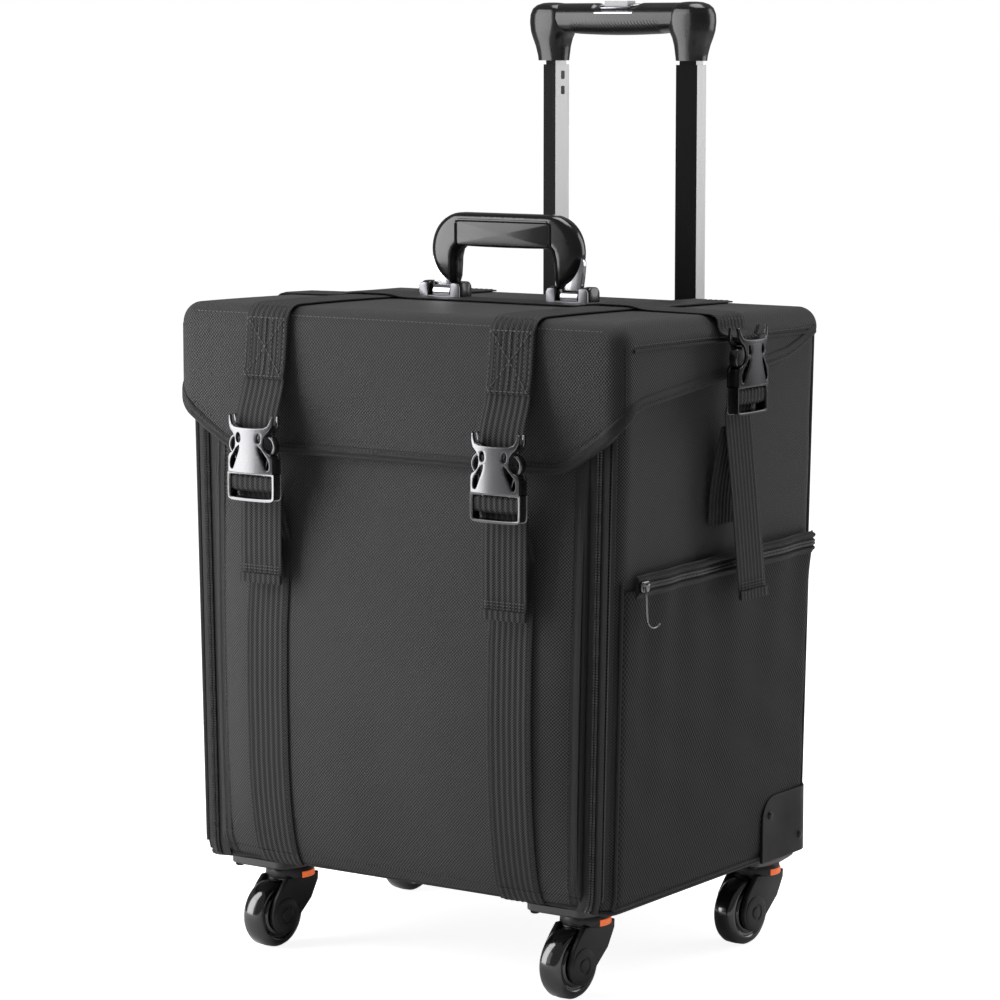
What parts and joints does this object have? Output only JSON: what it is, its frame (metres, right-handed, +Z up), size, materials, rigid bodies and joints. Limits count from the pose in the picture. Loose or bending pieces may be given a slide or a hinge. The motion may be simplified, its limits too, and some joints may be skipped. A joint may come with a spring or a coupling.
{
  "type": "rolling makeup train case",
  "caption": "Soft-sided rolling case with a lift-up lid, zip-down front, buckled straps, mesh side pockets, telescopic pull handle and swivel castors.",
  "frame": {"origin": "on the floor, under the middle of the case's overall width and depth", "axes": "+Z up, -Y out of the front panel, +X to the case's left as it faces the viewer's right"},
  "size_m": [0.426, 0.3408, 0.696],
  "materials": {
    "black_fabric": "tight black nylon twill over padded board",
    "panel_fabric": "black nylon twill over soft padding",
    "binding_tape": "black ribbed binding tape and piping",
    "black_webbing": "black polypropylene webbing with lengthwise ribs",
    "pocket_mesh": "black elastic mesh",
    "zip_coil": "black nylon zip coil on woven tape",
    "zip_metal": "plated zinc slider with a thin wire pull",
    "buckle_grey": "glossy moulded acetal, grey by reflection",
    "buckle_black": "glossy black moulded acetal",
    "base_board": "black covered base board",
    "guard_plastic": "black moulded corner guard with a fine grain",
    "rivet_steel": "domed steel rivet",
    "outer_tube": "black coated aluminium tube",
    "bright_tube": "satin anodised aluminium tube",
    "grip_plastic": "black moulded grip with a soft satin finish",
    "button_silver": "silver lacquered button",
    "socket_plastic": "black moulded tube socket",
    "handle_chrome": "bright chromed steel",
    "carry_plastic": "glossy black moulded carry handle",
    "castor_plastic": "black moulded nylon",
    "wheel_rubber": "glossy black polyurethane tread and hub"
  },
  "bodies": {
    "case": {"base_board": "base_board", "back_panel": "black_fabric", "left_side_panel": "black_fabric", "right_side_panel": "black_fabric", "left_front_rim": "black_fabric", "right_front_rim": "black_fabric", "hinge_cord": "binding_tape", "front_zip_tapes": "zip_coil", "left_pocket": "pocket_mesh", "right_pocket": "pocket_mesh", "left_pocket_zip": "zip_coil", "right_pocket_zip": "zip_coil", "left_corner_guard": "guard_plastic", "right_corner_guard": "guard_plastic", "guard_rivets": "rivet_steel", "outer_tubes": "outer_tube", "trolley_bracket": "socket_plastic", "trolley_foot": "socket_plastic", "castor_plates": "castor_plastic", "castor_screws": "rivet_steel", "side_anchor_straps": "black_webbing"},
    "lid": {"lid_cover": "black_fabric", "lid_binding": "binding_tape", "left_lid_strap": "black_webbing", "right_lid_strap": "black_webbing", "cross_strap": "black_webbing", "front_sockets": "buckle_grey", "side_sockets": "buckle_black", "handle_brackets": "handle_chrome", "handle_pins": "rivet_steel"},
    "panel": {"front_panel": "panel_fabric", "front_panel_binding": "binding_tape", "left_panel_strap": "black_webbing", "right_panel_strap": "black_webbing"},
    "front_left_clip": {"front_left_plug": "buckle_grey", "front_left_tail": "black_webbing"},
    "front_right_clip": {"front_right_plug": "buckle_grey", "front_right_tail": "black_webbing"},
    "side_left_clip": {"side_left_plug": "buckle_black", "side_left_tail": "black_webbing"},
    "side_right_clip": {"side_right_plug": "buckle_black", "side_right_tail": "black_webbing"},
    "carry_handle": {"carry_grip": "carry_plastic", "carry_arms": "handle_chrome"},
    "middle_stage": {"mid_tubes": "bright_tube"},
    "pull_handle": {"inner_tubes": "bright_tube", "trolley_grip": "grip_plastic"},
    "release_button": {"trolley_button": "button_silver"},
    "left_pocket_slide": {"left_pocket_slider": "zip_metal"},
    "right_pocket_slide": {"right_pocket_slider": "zip_metal"},
    "left_panel_slide": {"left_front_slider": "zip_metal"},
    "right_panel_slide": {"right_front_slider": "zip_metal"},
    "castor_front_left": {"fork_front_left": "castor_plastic"},
    "roller_front_left": {"wheel_front_left": "wheel_rubber"},
    "castor_front_right": {"fork_front_right": "castor_plastic"},
    "roller_front_right": {"wheel_front_right": "wheel_rubber"},
    "castor_rear_left": {"fork_rear_left": "castor_plastic"},
    "roller_rear_left": {"wheel_rear_left": "wheel_rubber"},
    "castor_rear_right": {"fork_rear_right": "castor_plastic"},
    "roller_rear_right": {"wheel_rear_right": "wheel_rubber"}
  },
  "joints": [
    {"name": "lid_hinge", "type": "hinge", "parent": "case", "child": "lid", "pos_m": [0, 0.1316, 0.4635], "axis": [-1, 0, 0], "range_deg": [0, 60]},
    {"name": "front_panel_hinge", "type": "hinge", "parent": "case", "child": "panel", "pos_m": [0, -0.1384, 0.0795], "axis": [1, 0, 0], "range_deg": [0, 95]},
    {"name": "front_left_release", "type": "slide", "parent": "panel", "child": "front_left_clip", "axis": [0, 0, -1], "range_m": [0, 0.024]},
    {"name": "front_right_release", "type": "slide", "parent": "panel", "child": "front_right_clip", "axis": [0, 0, -1], "range_m": [0, 0.024]},
    {"name": "side_left_release", "type": "slide", "parent": "case", "child": "side_left_clip", "axis": [0, 0, -1], "range_m": [0, 0.024]},
    {"name": "side_right_release", "type": "slide", "parent": "case", "child": "side_right_clip", "axis": [0, 0, -1], "range_m": [0, 0.024]},
    {"name": "carry_handle_pivot", "type": "hinge", "parent": "lid", "child": "carry_handle", "pos_m": [0, 0.0024, 0.4821], "axis": [1, 0, 0], "range_deg": [-80, 80]},
    {"name": "lower_stage_slide", "type": "slide", "parent": "case", "child": "middle_stage", "axis": [0, 0, 1], "range_m": [-0.185, 0.084]},
    {"name": "upper_stage_slide", "type": "slide", "parent": "middle_stage", "child": "pull_handle", "axis": [0, 0, 1], "range_m": [0, 0.25]},
    {"name": "button_press", "type": "slide", "parent": "pull_handle", "child": "release_button", "axis": [0, 0, 1], "range_m": [-0.003, 0], "stiffness_N_per_m": 300, "springref_m": 0.002},
    {"name": "left_pocket_zip_run", "type": "slide", "parent": "case", "child": "left_pocket_slide", "axis": [0, 1, 0], "range_m": [0, 0.21]},
    {"name": "right_pocket_zip_run", "type": "slide", "parent": "case", "child": "right_pocket_slide", "axis": [0, 1, 0], "range_m": [0, 0.21]},
    {"name": "left_front_zip_run", "type": "slide", "parent": "case", "child": "left_panel_slide", "axis": [0, 0, -1], "range_m": [0, 0.336]},
    {"name": "right_front_zip_run", "type": "slide", "parent": "case", "child": "right_panel_slide", "axis": [0, 0, -1], "range_m": [0, 0.336]},
    {"name": "swivel_front_left", "type": "hinge", "parent": "case", "child": "castor_front_left", "pos_m": [-0.131, -0.0939, 0.055], "axis": [0, 0, 1], "continuous": true},
    {"name": "spin_front_left", "type": "hinge", "parent": "castor_front_left", "child": "roller_front_left", "pos_m": [-0.13266, -0.11283, 0.025], "axis": [0.9962, -0.0872, 0], "continuous": true},
    {"name": "swivel_front_right", "type": "hinge", "parent": "case", "child": "castor_front_right", "pos_m": [0.131, -0.0939, 0.055], "axis": [0, 0, 1], "continuous": true},
    {"name": "spin_front_right", "type": "hinge", "parent": "castor_front_right", "child": "roller_front_right", "pos_m": [0.12934, -0.11283, 0.025], "axis": [0.9962, -0.0872, 0], "continuous": true},
    {"name": "swivel_rear_left", "type": "hinge", "parent": "case", "child": "castor_rear_left", "pos_m": [-0.152, 0.1076, 0.055], "axis": [0, 0, 1], "continuous": true},
    {"name": "spin_rear_left", "type": "hinge", "parent": "castor_rear_left", "child": "roller_rear_left", "pos_m": [-0.15366, 0.08867, 0.025], "axis": [0.9962, -0.0872, 0], "continuous": true},
    {"name": "swivel_rear_right", "type": "hinge", "parent": "case", "child": "castor_rear_right", "pos_m": [0.152, 0.1076, 0.055], "axis": [0, 0, 1], "continuous": true},
    {"name": "spin_rear_right", "type": "hinge", "parent": "castor_rear_right", "child": "roller_rear_right", "pos_m": [0.15034, 0.08867, 0.025], "axis": [0.9962, -0.0872, 0], "continuous": true}
  ]
}
